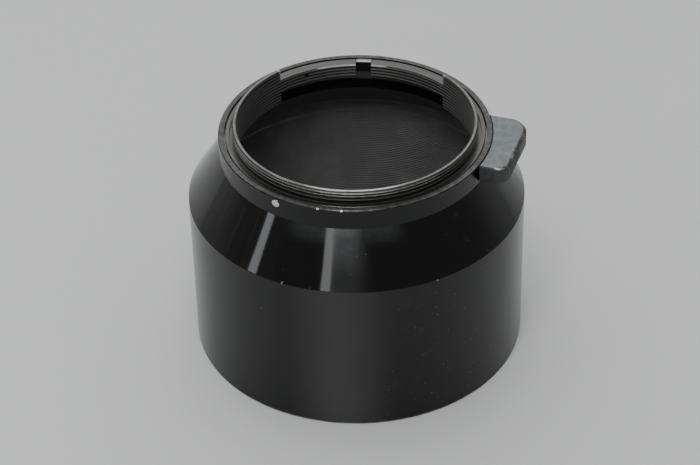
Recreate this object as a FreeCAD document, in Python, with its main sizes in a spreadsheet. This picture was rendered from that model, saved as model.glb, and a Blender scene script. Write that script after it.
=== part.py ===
# Lens hood with an expanding split mount ring.
# Frame: millimetres, +Z up. The hood stands on its mouth: Z = 0 is the mouth rim,
# the optical axis is Z, the mount points up. The lever projects towards +X,
# the slit of the mount ring faces +Y.
import FreeCAD, Part
import Sketcher
import math
import os

V = FreeCAD.Vector
doc = FreeCAD.newDocument("lens_hood")
dims = doc.addObject("Spreadsheet::Sheet", "dims")

CELLS = [
    # barrel: the wide front tube
    ("barrel_rad", 36.0), ("barrel_bore", 34.6), ("barrel_len", 35.5),
    ("barrel_rabbet_rad", 35.25), ("barrel_rabbet_bot", 32.5),
    ("barrel_lip", 0.25), ("barrel_lip_rad", 35.75),
    ("barrel_bore_edge", 34.9), ("barrel_bore_edge_up", 0.35),
    ("barrel_rib_first", 1.0), ("barrel_rib_last", 32.2), ("barrel_rib_pitch", 0.5), ("barrel_rib_deep", 0.22),
    # cone between barrel and collar
    ("cone_big_rad", 35.95), ("cone_edge_up", 35.55), ("cone_top_rad", 28.98), ("cone_top", 46.35),
    ("cone_land_bot", 44.4), ("cone_land_rad", 29.28), ("cone_bore", 28.45),
    ("cone_rib_last", 35.2),
    # collar that carries the mount
    ("collar_rad", 28.95), ("collar_top", 50.86), ("collar_bevel", 0.16), ("collar_bevel_rad", 28.79),
    ("collar_bevel_bot", 50.7), ("collar_bore", 27.72), ("collar_floor", 46.2),
    ("collar_web_bore", 26.4), ("collar_web_bot", 45.7), ("collar_skirt_bore", 27.15), ("collar_skirt_bot", 43.4),
    ("lockring_rad", 29.2), ("lockring_slot", 1.2),
    # window in the collar for the lever
    ("slot_bot", 46.95), ("slot_top", 50.4), ("slot_near", -29.2), ("slot_far", 9.6), ("slot_slant", 2.6),
    # wave washer under the lever ring
    ("washer_bore", 26.6), ("washer_rad", 27.55), ("washer_top", 46.5),
    # lever ring
    ("lring_bore", 26.45), ("lring_rad", 27.65), ("lring_top", 49.85),
    ("window_floor", 48.1),
    ("lever_travel", 12.0), ("arm_travel", 0.38),
    # mount ring, split in two halves
    ("mount_bore", 25.0), ("mount_bore_edge", 25.12), ("mount_tube_rad", 25.9), ("mount_bot", 45.1),
    ("mount_lip_rad", 26.75), ("mount_lip_top", 45.6), ("flange_bot", 49.9), ("flange_top", 50.7), ("flange_rad", 27.45),
    ("flange_bevel_rad", 27.37), ("flange_bevel_bot", 50.62),
    ("groove_rad", 26.6), ("groove_in", 25.5), ("groove_bot", 50.2),
    ("crest_rad", 25.95), ("root_rad", 25.57), ("land_rad", 25.86), ("mount_top", 53.3),
    ("low_bot", 47.65), ("mount_rib_pitch", 0.76), ("mount_rib_deep", 0.24),
    ("joint_deg", 265.3), ("slit_deg", 85.3), ("slit_half", 3.8),
    ("left_step", 129.7), ("right_step", 40.2),
    # key in the slit
    ("key_wide", 3.28), ("key_in", 26.4), ("key_bot", 48.2), ("key_top", 50.6),
    ("key_screw_up", 49.35), ("key_screw_rad", 0.7), ("key_screw_head", 1.15), ("key_screw_in", 27.0),
    # pins
    ("follow_rad", 0.3), ("follow_at", 27.0), ("follow_right", 25.0), ("follow_left", 155.0),
    ("follow_bot", 48.7), ("follow_top", 50.5), ("follow_slot_half", 0.37), ("follow_floor", 48.55),
    ("stop_rad", 0.55), ("stop_deg", 114.5), ("stop_up", 49.62), ("stop_in", 25.3), ("stop_out", 27.3),
    # lever tab
    ("tab_dir", -19.17), ("tab_end", 34.55), ("tab_near", -5.04), ("tab_far", 13.8),
    ("tab_bot", 46.94), ("tab_top", 50.7), ("tab_in", 29.05), ("tab_round_far", 4.28), ("tab_round_near", 3.0),
    ("tab_edge", 0.45), ("neck_from", -24.5), ("neck_to", -3.0), ("neck_bot", 47.05), ("neck_top", 49.8),
    ("lscrew_up", 48.25), ("lscrew_rad", 0.7), ("lscrew_head", 1.2), ("lscrew_sink", 1.406), ("lscrew_len", 5.2), ("lscrew_head_len", 0.85),
    ("lscrew_near", -19.0), ("lscrew_far", -9.0),
    # index bead
    ("bead_deg", 235.2), ("bead_up", 49.3), ("bead_rad", 0.95), ("bead_seat", 28.3), ("bead_proud", 29.2),
]
D = {}
for row, (name, value) in enumerate(CELLS, start=1):
    dims.set("A%d" % row, name)
    dims.set("B%d" % row, repr(value))
    dims.setAlias("B%d" % row, name)
    D[name] = value
doc.recompute()


def plane(body, role):
    for o in body.Origin.OriginFeatures:
        if o.Role == role:
            return o
    raise RuntimeError("no plane " + role)


def turned(body, name, where, deg=0.0):
    """A sketch on the body's XZ plane, swung about the vertical axis by deg."""
    sk = body.newObject("Sketcher::SketchObject", name)
    sk.AttachmentSupport = [(plane(body, "XZ_Plane"), "")]
    sk.MapMode = "FlatFace"
    sk.AttachmentOffset = FreeCAD.Placement(V(0, 0, 0), FreeCAD.Rotation(V(0, 1, 0), deg))
    if isinstance(deg, str):
        raise RuntimeError("angle must be a number")
    return sk


def flat(body, name, up=0.0, turn=0.0):
    sk = body.newObject("Sketcher::SketchObject", name)
    sk.AttachmentSupport = [(plane(body, "XY_Plane"), "")]
    sk.MapMode = "FlatFace"
    sk.AttachmentOffset = FreeCAD.Placement(V(0, 0, up), FreeCAD.Rotation(V(0, 0, 1), turn))
    return sk


def outline(sk, pts):
    """Closed polygon whose corners are pairs of sheet names, each bound to its cell."""
    n = len(pts)
    xy = [(D[a], 0.0 if b is None else D[b]) for a, b in pts]
    for i in range(n):
        a, b = xy[i], xy[(i + 1) % n]
        sk.addGeometry(Part.LineSegment(V(a[0], a[1], 0), V(b[0], b[1], 0)), False)
    for i in range(n):
        sk.addConstraint(Sketcher.Constraint("Coincident", i, 2, (i + 1) % n, 1))
    for i, (a, b) in enumerate(pts):
        c = sk.addConstraint(Sketcher.Constraint("DistanceX", -1, 1, i, 1, D[a]))
        sk.setExpression("Constraints[%d]" % c, "dims." + a)
        if b is None:
            sk.addConstraint(Sketcher.Constraint("PointOnObject", i, 1, -1))
        else:
            c = sk.addConstraint(Sketcher.Constraint("DistanceY", -1, 1, i, 1, D[b]))
            sk.setExpression("Constraints[%d]" % c, "dims." + b)


def freehand(sk, xy):
    """Closed polygon from worked-out corners (ribs and cam paths)."""
    n = len(xy)
    for i in range(n):
        a, b = xy[i], xy[(i + 1) % n]
        sk.addGeometry(Part.LineSegment(V(a[0], a[1], 0), V(b[0], b[1], 0)), False)
    for i in range(n):
        sk.addConstraint(Sketcher.Constraint("Coincident", i, 2, (i + 1) % n, 1))


def revolve(body, sk, name, sweep=360.0, cut=False, back=False):
    f = body.newObject("PartDesign::Groove" if cut else "PartDesign::Revolution", name)
    f.Profile = sk
    f.ReferenceAxis = (sk, ["V_Axis"])
    f.Angle = sweep
    f.Reversed = back
    body.Tip = f
    doc.recompute()
    return f


def comb(bore, first, last, pitch, deep, slack=0.4):
    """Saw-tooth comb that cuts ribs into a bore: crests stay at the bore radius."""
    n = int((last - first) / pitch)
    pts = [(bore - slack, first)]
    for k in range(n):
        z = first + k * pitch
        pts.append((bore, z + 0.10 * pitch))
        pts.append((bore + deep, z + 0.50 * pitch))
        pts.append((bore + deep, z + 0.60 * pitch))
        pts.append((bore, z + 1.00 * pitch))
    pts.append((bore - slack, first + n * pitch + 0.1 * pitch))
    return pts


def ring_body(label, pts, sweep=360.0, start=0.0):
    body = doc.addObject("PartDesign::Body", label)
    sk = turned(body, label + "_profile", None, start)
    outline(sk, pts)
    revolve(body, sk, label + "_turn", sweep)
    return body


def cut_check(body, before, what):
    doc.recompute()
    after = body.Shape.Volume
    if not after < before - 1e-6:
        raise RuntimeError("cut removed nothing: " + what)
    return after


def sector_cut(body, name, r0, r1, z0, z1, a0, a1):
    """Cut an angular window through a ring, from angle a0 to a1."""
    before = body.Shape.Volume
    sk = turned(body, name + "_shape", None, a0)
    freehand(sk, [(r0, z0), (r1, z0), (r1, z1), (r0, z1)])
    revolve(body, sk, name, a1 - a0, cut=True)
    cut_check(body, before, name)


def cyl(name, rad, length, place):
    c = doc.addObject("Part::Cylinder", name)
    c.Radius = D[rad]
    c.Height = length
    c.setExpression("Radius", "dims." + rad)
    c.Placement = place
    return c


def radial(deg, start_r, up, axial=0.0):
    a = math.radians(deg)
    d = V(math.cos(a), math.sin(a), 0)
    return FreeCAD.Placement(V(start_r * d.x, start_r * d.y, up), FreeCAD.Rotation(V(0, 0, 1), d))


def minus(label, base, tools):
    tool = tools[0]
    if len(tools) > 1:
        tool = doc.addObject("Part::Compound", label + "_tools")
        tool.Links = tools
    c = doc.addObject("Part::Cut", label)
    c.Base = base
    c.Tool = tool
    doc.recompute()
    if not c.Shape.Volume < base.Shape.Volume - 1e-6:
        raise RuntimeError("cut removed nothing: " + label)
    return c


NODES = {}


def node(name, obj):
    obj.Label = name
    NODES[name] = obj


# ---------------------------------------------------------------- barrel tube
barrel = ring_body("barrel_body", [
    ("barrel_bore_edge", None), ("barrel_lip_rad", None), ("barrel_rad", "barrel_lip"),
    ("barrel_rad", "barrel_len"), ("barrel_rabbet_rad", "barrel_len"),
    ("barrel_rabbet_rad", "barrel_rabbet_bot"), ("barrel_bore", "barrel_rabbet_bot"),
    ("barrel_bore", "barrel_bore_edge_up")])
v0 = barrel.Shape.Volume
sk = turned(barrel, "barrel_ribs_profile", None)
freehand(sk, comb(D["barrel_bore"], D["barrel_rib_first"], D["barrel_rib_last"], D["barrel_rib_pitch"], D["barrel_rib_deep"]))
revolve(barrel, sk, "barrel_ribs", 360.0, cut=True)
cut_check(barrel, v0, "barrel ribs")
node("barrel_tube", barrel)

# ---------------------------------------------------------------- cone shell
cone = ring_body("cone_body", [
    ("barrel_bore", "barrel_rabbet_bot"), ("barrel_rabbet_rad", "barrel_rabbet_bot"),
    ("barrel_rabbet_rad", "barrel_len"), ("cone_big_rad", "barrel_len"), ("cone_big_rad", "cone_edge_up"),
    ("cone_top_rad", "cone_top"), ("cone_bore", "cone_top"), ("cone_bore", "cone_land_bot"),
    ("cone_land_rad", "cone_land_bot"), ("barrel_bore", "barrel_len")])
v0 = cone.Shape.Volume
sk = turned(cone, "cone_ribs_profile", None)
freehand(sk, comb(D["barrel_bore"], D["barrel_rabbet_bot"] + 0.2, D["cone_rib_last"], D["barrel_rib_pitch"], D["barrel_rib_deep"]))
revolve(cone, sk, "cone_ribs", 360.0, cut=True)
cut_check(cone, v0, "cone ribs")
node("cone_shell", cone)

# ---------------------------------------------------------------- collar housing
collar = ring_body("collar_body", [
    ("cone_bore", "collar_skirt_bot"), ("cone_bore", "cone_top"), ("collar_rad", "cone_top"),
    ("collar_rad", "collar_bevel_bot"), ("collar_bevel_rad", "collar_top"), ("collar_bore", "collar_top"),
    ("collar_bore", "collar_floor"), ("collar_web_bore", "collar_floor"), ("collar_web_bore", "collar_web_bot"),
    ("collar_skirt_bore", "collar_web_bot"), ("collar_skirt_bore", "collar_skirt_bot")])
sector_cut(collar, "lever_window", 27.6, 29.6, D["slot_bot"], D["slot_top"], D["slot_near"], D["slot_far"])
# slanted near end of the lever window
before = collar.Shape.Volume
sk = collar.newObject("Sketcher::SketchObject", "slant_shape")
sk.AttachmentSupport = [(plane(collar, "XZ_Plane"), "")]
sk.MapMode = "FlatFace"
sk.AttachmentOffset = FreeCAD.Placement(V(0, 0, 0), FreeCAD.Rotation(V(0, 1, 0), D["slot_near"] + 90.0))
freehand(sk, [(0.05, D["slot_bot"]), (0.05, D["slot_top"]), (-D["slot_slant"], D["slot_top"]), (-0.02, D["slot_bot"])])
pk = collar.newObject("PartDesign::Pocket", "window_slant")
pk.Profile = sk
pk.Type = 0
pk.Length = 30.0
pk.Reversed = True
collar.Tip = pk
cut_check(collar, before, "window slant")
a = math.radians(D["slot_near"] - 1.0)
probe = Part.makeSphere(0.05, V(28.4 * math.cos(a), 28.4 * math.sin(a), D["slot_top"] - 0.3))
if collar.Shape.common(probe).Volume > 1e-7:
    raise RuntimeError("the window's slanted end is on the wrong side")

key_hole = cyl("key_screw_hole", "key_screw_rad", 4.0, radial(D["slit_deg"], 26.5, D["key_screw_up"]))
key_sink = doc.addObject("Part::Cone", "key_screw_sink")
key_sink.Radius1 = D["key_screw_rad"]
key_sink.Radius2 = D["key_screw_head"]
key_sink.Height = 0.5
key_sink.setExpression("Radius1", "dims.key_screw_rad")
key_sink.setExpression("Radius2", "dims.key_screw_head")
key_sink.Placement = radial(D["slit_deg"], 28.36, D["key_screw_up"])
bead_hole = cyl("bead_hole", "bead_rad", 1.5, radial(D["bead_deg"], D["bead_seat"], D["bead_up"]))
node("collar_housing", minus("collar_cut", collar, [key_hole, key_sink, bead_hole]))

# ---------------------------------------------------------------- lock ring under the cone's land
lock = ring_body("lock_body", [
    ("cone_bore", "collar_skirt_bot"), ("lockring_rad", "collar_skirt_bot"),
    ("lockring_rad", "cone_land_bot"), ("cone_bore", "cone_land_bot")])
slots = []
for i, deg in enumerate((0.0, 180.0)):
    b = doc.addObject("Part::Box", "spanner_slot_%d" % i)
    b.Length = 2.0
    b.Width = D["lockring_slot"]
    b.Height = 0.6
    b.setExpression("Width", "dims.lockring_slot")
    rot = FreeCAD.Rotation(V(0, 0, 1), deg)
    b.Placement = FreeCAD.Placement(rot.multVec(V(27.8, -D["lockring_slot"] / 2, D["collar_skirt_bot"] - 0.1)), rot)
    slots.append(b)
node("collar_lock_ring", minus("lock_cut", lock, slots))

# ---------------------------------------------------------------- wave washer
washer = ring_body("wave_washer_body", [
    ("washer_bore", "collar_floor"), ("washer_rad", "collar_floor"),
    ("washer_rad", "washer_top"), ("washer_bore", "washer_top")])
node("wave_washer", washer)

# ---------------------------------------------------------------- lever ring with cam slots and windows
lring = ring_body("lever_ring_body", [
    ("lring_bore", "washer_top"), ("lring_rad", "washer_top"), ("lring_rad", "lring_top"), ("lring_bore", "lring_top")])
tr = D["lever_travel"]
half_key = math.degrees(math.asin(D["key_wide"] / 2 / D["key_in"]))
sector_cut(lring, "key_window", 26.0, 28.4, D["window_floor"], 50.5, D["slit_deg"] - tr - half_key - 0.35, D["slit_deg"] + half_key + 0.35)
half_stop = math.degrees(math.asin(D["stop_rad"] / D["lring_bore"]))
sector_cut(lring, "stop_window", 26.0, 28.4, D["window_floor"], 50.5, D["stop_deg"] - tr - half_stop - 0.30, D["stop_deg"] + half_stop + 0.30)

joint = math.radians(D["joint_deg"])
HINGE = V(D["flange_rad"] * math.cos(joint), D["flange_rad"] * math.sin(joint), 0)


def spin(p, deg, c=V(0, 0, 0)):
    a = math.radians(deg)
    x, y = p.x - c.x, p.y - c.y
    return V(c.x + x * math.cos(a) - y * math.sin(a), c.y + x * math.sin(a) + y * math.cos(a), 0)


def cam_path(at_deg, arm_sign):
    """Where a follower pin goes, seen from the lever ring, over the whole travel."""
    a = math.radians(at_deg)
    p0 = V(D["follow_at"] * math.cos(a), D["follow_at"] * math.sin(a), 0)
    out = []
    for k in range(9):
        th = tr * k / 8.0
        p = spin(p0, arm_sign * D["arm_travel"] * k / 8.0, HINGE)
        out.append(spin(p, -th))
    return out


def fat_line(path, half, caps=6):
    n = len(path)
    left, right = [], []
    for i, p in enumerate(path):
        q0, q1 = path[max(0, i - 1)], path[min(n - 1, i + 1)]
        d = (q1 - q0).normalize()
        nrm = V(-d.y, d.x, 0)
        left.append(p + nrm * half)
        right.append(p - nrm * half)
    d1 = (path[-1] - path[-2]).normalize()
    d0 = (path[0] - path[1]).normalize()
    cap1 = [path[-1] + spin(V(-d1.y, d1.x, 0), -180.0 * k / caps) * half for k in range(1, caps)]
    cap0 = [path[0] + spin(V(-d0.y, d0.x, 0), -180.0 * k / caps) * half for k in range(1, caps)]
    return left + cap1 + right[::-1] + cap0


for side, deg, sign in (("right", D["follow_right"], -1.0), ("left", D["follow_left"], 1.0)):
    before = lring.Shape.Volume
    sk = flat(lring, "cam_slot_%s_shape" % side, D["lring_top"])
    freehand(sk, [(p.x, p.y) for p in fat_line(cam_path(deg, sign), D["follow_slot_half"])])
    pk = lring.newObject("PartDesign::Pocket", "cam_slot_" + side)
    pk.Profile = sk
    pk.Length = D["lring_top"] - D["follow_floor"]
    pk.setExpression("Length", "dims.lring_top - dims.follow_floor")
    lring.Tip = pk
    cut_check(lring, before, "cam slot " + side)
tools = []
for i, name in enumerate(("lscrew_near", "lscrew_far")):
    tools.append(cyl("lever_hole_%d" % i, "lscrew_rad", 4.0, radial(D[name], 26.0, D["lscrew_up"])))
    s = doc.addObject("Part::Cone", "lever_sink_%d" % i)
    s.Radius1 = D["lscrew_sink"]
    s.Radius2 = D["lscrew_rad"]
    s.Height = D["lscrew_head_len"] + 0.35
    s.setExpression("Radius1", "dims.lscrew_sink")
    s.setExpression("Radius2", "dims.lscrew_rad")
    s.setExpression("Height", "dims.lscrew_head_len + 0.35")
    s.Placement = radial(D[name], 26.45 - 0.05, D["lscrew_up"])
    tools.append(s)
node("lever_ring", minus("lever_ring_cut", lring, tools))

# ---------------------------------------------------------------- lever tab
tab = doc.addObject("PartDesign::Body", "tab_body")
sk = flat(tab, "tab_plan", D["tab_bot"], D["tab_dir"])
u0 = 20.0
rn, rf = D["tab_round_near"], D["tab_round_far"]
tn, tf, te = D["tab_near"], D["tab_far"], D["tab_end"]
sk.addGeometry(Part.LineSegment(V(u0, tn, 0), V(te - rn, tn, 0)), False)
sk.addGeometry(Part.ArcOfCircle(Part.Circle(V(te - rn, tn + rn, 0), V(0, 0, 1), rn), -math.pi / 2, 0), False)
sk.addGeometry(Part.LineSegment(V(te, tn + rn, 0), V(te, tf - rf, 0)), False)
sk.addGeometry(Part.ArcOfCircle(Part.Circle(V(te - rf, tf - rf, 0), V(0, 0, 1), rf), 0, math.pi / 2), False)
sk.addGeometry(Part.LineSegment(V(te - rf, tf, 0), V(u0, tf, 0)), False)
sk.addGeometry(Part.LineSegment(V(u0, tf, 0), V(u0, tn, 0)), False)
for i in (0, 1, 2, 3):
    sk.addConstraint(Sketcher.Constraint("Tangent", i, 2, i + 1, 1))
sk.addConstraint(Sketcher.Constraint("Coincident", 4, 2, 5, 1))
sk.addConstraint(Sketcher.Constraint("Coincident", 5, 2, 0, 1))
sk.addConstraint(Sketcher.Constraint("Horizontal", 0))
sk.addConstraint(Sketcher.Constraint("Vertical", 2))
sk.addConstraint(Sketcher.Constraint("Horizontal", 4))
sk.addConstraint(Sketcher.Constraint("Vertical", 5))
c = sk.addConstraint(Sketcher.Constraint("Radius", 1, rn))
sk.setExpression("Constraints[%d]" % c, "dims.tab_round_near")
c = sk.addConstraint(Sketcher.Constraint("Radius", 3, rf))
sk.setExpression("Constraints[%d]" % c, "dims.tab_round_far")
c = sk.addConstraint(Sketcher.Constraint("DistanceX", -1, 1, 2, 1, te))
sk.setExpression("Constraints[%d]" % c, "dims.tab_end")
c = sk.addConstraint(Sketcher.Constraint("DistanceY", -1, 1, 0, 1, tn))
sk.setExpression("Constraints[%d]" % c, "dims.tab_near")
c = sk.addConstraint(Sketcher.Constraint("DistanceY", -1, 1, 4, 1, tf))
sk.setExpression("Constraints[%d]" % c, "dims.tab_far")
c = sk.addConstraint(Sketcher.Constraint("DistanceX", -1, 1, 5, 1, u0))
pad = tab.newObject("PartDesign::Pad", "tab_block")
pad.Profile = sk
pad.Length = D["tab_top"] - D["tab_bot"]
pad.setExpression("Length", "dims.tab_top - dims.tab_bot")
tab.Tip = pad
doc.recompute()


def pick_edges(shape, test):
    return ["Edge%d" % (i + 1) for i, e in enumerate(shape.Edges) if test(e)]


def rim_edge(e):
    zs = [w.Point.z for w in e.Vertexes]
    if max(zs) - min(zs) > 0.01:
        return False
    m = e.valueAt((e.FirstParameter + e.LastParameter) / 2)
    return (abs(m.z - D["tab_top"]) < 0.01 or abs(m.z - D["tab_bot"]) < 0.01) and math.hypot(m.x, m.y) > 26.0


f = tab.newObject("PartDesign::Fillet", "tab_soft_edges")
f.Base = (pad, pick_edges(pad.Shape, rim_edge))
f.Radius = D["tab_edge"]
f.setExpression("Radius", "dims.tab_edge")
tab.Tip = f
doc.recompute()
# inner side follows the collar
before = tab.Shape.Volume
sk = turned(tab, "tab_root_shape", None)
freehand(sk, [(10.0, 45.0), (D["tab_in"], 45.0), (D["tab_in"], 52.0), (10.0, 52.0)])
revolve(tab, sk, "tab_root", 360.0, cut=True)
cut_check(tab, before, "tab root")
# neck through the collar window
sk = turned(tab, "neck_shape", None, D["neck_from"])
freehand(sk, [(D["lring_rad"], D["neck_bot"]), (D["tab_in"] + 0.6, D["neck_bot"]), (D["tab_in"] + 0.6, D["neck_top"]), (D["lring_rad"], D["neck_top"])])
revolve(tab, sk, "neck", D["neck_to"] - D["neck_from"])
# fine upright serrations on the outer end
before = tab.Shape.Volume
sk = flat(tab, "serration_shape", D["tab_bot"] - 1.0, D["tab_dir"])
span0, span1 = D["tab_near"] + D["tab_round_near"] + 0.1, D["tab_far"] - D["tab_round_far"] - 0.1
count = 24
step = (span1 - span0) / count
pts = [(D["tab_end"] + 0.6, span0 - 0.2)]
for k in range(count):
    y = span0 + k * step
    pts += [(D["tab_end"] - 0.03, y + 0.10 * step), (D["tab_end"] - 0.19, y + 0.42 * step), (D["tab_end"] - 0.19, y + 0.58 * step), (D["tab_end"] - 0.03, y + 0.90 * step)]
pts.append((D["tab_end"] + 0.6, span1 + 0.2))
freehand(sk, pts)
pk = tab.newObject("PartDesign::Pocket", "serrations")
pk.Profile = sk
pk.Length = 7.0
pk.Reversed = True
tab.Tip = pk
cut_check(tab, before, "serrations")
tab_holes = [cyl("tab_hole_%d" % i, "lscrew_rad", D["lscrew_len"] - 1.2 + 0.01, radial(D[n], D["lring_rad"] - 0.01, D["lscrew_up"]))
             for i, n in enumerate(("lscrew_near", "lscrew_far"))]
node("lever_tab", minus("tab_cut", tab, tab_holes))

# ---------------------------------------------------------------- lever screws, put in from inside the lever ring
screws = []
for i, n in enumerate(("lscrew_near", "lscrew_far")):
    head = doc.addObject("Part::Cone", "lscrew_head_%d" % i)
    head.Radius1 = D["lscrew_head"]
    head.Radius2 = D["lscrew_rad"]
    head.Height = D["lscrew_head_len"]
    head.setExpression("Radius1", "dims.lscrew_head")
    head.setExpression("Radius2", "dims.lscrew_rad")
    head.setExpression("Height", "dims.lscrew_head_len")
    head.Placement = radial(D[n], 26.75, D["lscrew_up"])
    shank = cyl("lscrew_shank_%d" % i, "lscrew_rad", 31.45 - 26.75 - D["lscrew_head_len"], radial(D[n], 26.75 + D["lscrew_head_len"], D["lscrew_up"]))
    fuse = doc.addObject("Part::Fuse", "lscrew_whole_%d" % i)
    fuse.Base = head
    fuse.Tool = shank
    slot = doc.addObject("Part::Box", "lscrew_slot_%d" % i)
    slot.Length = 4.0
    slot.Width = 0.35
    slot.Height = 0.8
    pl = radial(D[n], 26.75, D["lscrew_up"])
    slot.Placement = pl.multiply(FreeCAD.Placement(V(-2.0, -0.175, -0.4), FreeCAD.Rotation()))
    cut = doc.addObject("Part::Cut", "lscrew_%d" % i)
    cut.Base = fuse
    cut.Tool = slot
    screws.append(cut)
grp = doc.addObject("Part::Compound", "lever_screw_pair")
grp.Links = screws
node("lever_screws", grp)

# ---------------------------------------------------------------- key that stands in the slit
key = doc.addObject("PartDesign::Body", "key_body")
sk = flat(key, "key_plan", D["key_bot"], D["slit_deg"])
hw = D["key_wide"] / 2
arc = [(math.sqrt(D["collar_bore"] ** 2 - (hw * t) ** 2), hw * t) for t in (-1.0, -0.5, 0.0, 0.5, 1.0)]
sk.addGeometry(Part.LineSegment(V(D["key_in"], -hw, 0), V(arc[0][0], -hw, 0)), False)
sk.addGeometry(Part.ArcOfCircle(Part.Circle(V(0, 0, 0), V(0, 0, 1), D["collar_bore"]), math.asin(-hw / D["collar_bore"]), math.asin(hw / D["collar_bore"])), False)
sk.addGeometry(Part.LineSegment(V(arc[-1][0], hw, 0), V(D["key_in"], hw, 0)), False)
sk.addGeometry(Part.LineSegment(V(D["key_in"], hw, 0), V(D["key_in"], -hw, 0)), False)
sk.addConstraint(Sketcher.Constraint("Coincident", 0, 2, 1, 1))
sk.addConstraint(Sketcher.Constraint("Coincident", 1, 2, 2, 1))
sk.addConstraint(Sketcher.Constraint("Coincident", 2, 2, 3, 1))
sk.addConstraint(Sketcher.Constraint("Coincident", 3, 2, 0, 1))
pad = key.newObject("PartDesign::Pad", "key_block")
pad.Profile = sk
pad.Length = D["key_top"] - D["key_bot"]
pad.setExpression("Length", "dims.key_top - dims.key_bot")
key.Tip = pad
doc.recompute()
khole = cyl("key_tap", "key_screw_rad", 2.0, radial(D["slit_deg"], D["key_screw_in"], D["key_screw_up"]))
node("split_key", minus("key_cut", key, [khole]))

# screw that holds the key, put in from outside the collar
shank = cyl("kscrew_shank", "key_screw_rad", 28.36 - D["key_screw_in"], radial(D["slit_deg"], D["key_screw_in"], D["key_screw_up"]))
head = doc.addObject("Part::Cone", "kscrew_head")
head.Radius1 = D["key_screw_rad"]
head.Radius2 = D["key_screw_head"] - 0.1
head.Height = 0.42
head.setExpression("Radius1", "dims.key_screw_rad")
head.setExpression("Radius2", "dims.key_screw_head - 0.1")
head.Placement = radial(D["slit_deg"], 28.36, D["key_screw_up"])
fuse = doc.addObject("Part::Fuse", "kscrew_whole")
fuse.Base = head
fuse.Tool = shank
slot = doc.addObject("Part::Box", "kscrew_slot")
slot.Length = 4.0
slot.Width = 0.3
slot.Height = 0.5
slot.Placement = radial(D["slit_deg"], 28.58, D["key_screw_up"]).multiply(FreeCAD.Placement(V(-2.0, -0.15, 0), FreeCAD.Rotation()))
cut = doc.addObject("Part::Cut", "kscrew_cut")
cut.Base = fuse
cut.Tool = slot
node("key_screw", cut)

# ---------------------------------------------------------------- split mount ring, two halves
def mount_half(label, tall_from, tall_to, low_from, low_to, extra):
    body = doc.addObject("PartDesign::Body", label + "_body")
    sk = turned(body, label + "_tall", None, tall_from)
    p, r = D["crest_rad"], D["root_rad"]
    top = D["mount_top"]
    freehand(sk, [
        (D["mount_bore"], D["mount_bot"]), (D["mount_lip_rad"], D["mount_bot"]), (D["mount_lip_rad"], D["mount_lip_top"]),
        (D["mount_tube_rad"], D["mount_lip_top"]), (D["mount_tube_rad"], D["flange_bot"]), (D["flange_rad"], D["flange_bot"]),
        (D["flange_rad"], D["flange_bevel_bot"]), (D["flange_bevel_rad"], D["flange_top"]), (D["groove_rad"], D["flange_top"]),
        (D["groove_rad"], D["groove_bot"]), (D["groove_in"], D["groove_bot"]), (D["groove_in"], D["groove_bot"] + 0.22),
        (D["land_rad"], top - 2.62), (D["land_rad"], top - 2.10), (r, top - 1.92), (r, top - 1.56),
        (p, top - 1.32), (p, top - 1.12), (r + 0.06, top - 0.92), (r + 0.06, top - 0.84),
        (p, top - 0.64), (p, top - 0.46), (r + 0.12, top - 0.28), (r + 0.12, top - 0.16), (r + 0.02, top),
        (D["mount_bore_edge"], top), (D["mount_bore"], top - 0.12)])
    revolve(body, sk, label + "_tall_turn", tall_to - tall_from)
    sk = turned(body, label + "_low", None, low_from)
    freehand(sk, [
        (D["mount_bore"], D["low_bot"]), (D["mount_tube_rad"], D["low_bot"]), (D["mount_tube_rad"], D["flange_bot"]),
        (D["flange_rad"], D["flange_bot"]), (D["flange_rad"], D["flange_bevel_bot"]), (D["flange_bevel_rad"], D["flange_top"]),
        (D["mount_bore_edge"], D["flange_top"]), (D["mount_bore"], D["flange_top"] - 0.12)])
    revolve(body, sk, label + "_low_turn", low_to - low_from)
    # ribs in the bore
    before = body.Shape.Volume
    a0, a1 = min(tall_from, low_from), max(tall_to, low_to)
    sk = turned(body, label + "_ribs_profile", None, a0 - 1.0)
    freehand(sk, comb(D["mount_bore"], D["mount_bot"] - 0.1, top - 0.35, D["mount_rib_pitch"], D["mount_rib_deep"]))
    revolve(body, sk, label + "_ribs", a1 - a0 + 2.0, cut=True)
    cut_check(body, before, label + " ribs")
    return minus(label + "_cut", body, extra)


def upright(name, rad, deg, at, z0, z1):
    a = math.radians(deg)
    return cyl(name, rad, z1 - z0, FreeCAD.Placement(V(at * math.cos(a), at * math.sin(a), z0), FreeCAD.Rotation()))


half = D["slit_half"]
left_hole = upright("follow_hole_left", "follow_rad", D["follow_left"], D["follow_at"], D["follow_bot"], D["follow_top"])
stop_hole = cyl("stop_hole", "stop_rad", 4.0, radial(D["stop_deg"], 24.0, D["stop_up"]))
right_hole = upright("follow_hole_right", "follow_rad", D["follow_right"], D["follow_at"], D["follow_bot"], D["follow_top"])
node("mount_ring_left", mount_half("mount_left", D["left_step"], D["joint_deg"], D["slit_deg"] + half, D["left_step"], [left_hole, stop_hole]))
node("mount_ring_right", mount_half("mount_right", D["joint_deg"] - 360.0, D["right_step"], D["right_step"], D["slit_deg"] - half, [right_hole]))

# ---------------------------------------------------------------- pins
node("follower_pin_left", upright("pin_left", "follow_rad", D["follow_left"], D["follow_at"], D["follow_bot"], D["follow_top"]))
node("follower_pin_right", upright("pin_right", "follow_rad", D["follow_right"], D["follow_at"], D["follow_bot"], D["follow_top"]))
node("stop_pin", cyl("pin_stop", "stop_rad", D["stop_out"] - D["stop_in"], radial(D["stop_deg"], D["stop_in"], D["stop_up"])))

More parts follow.
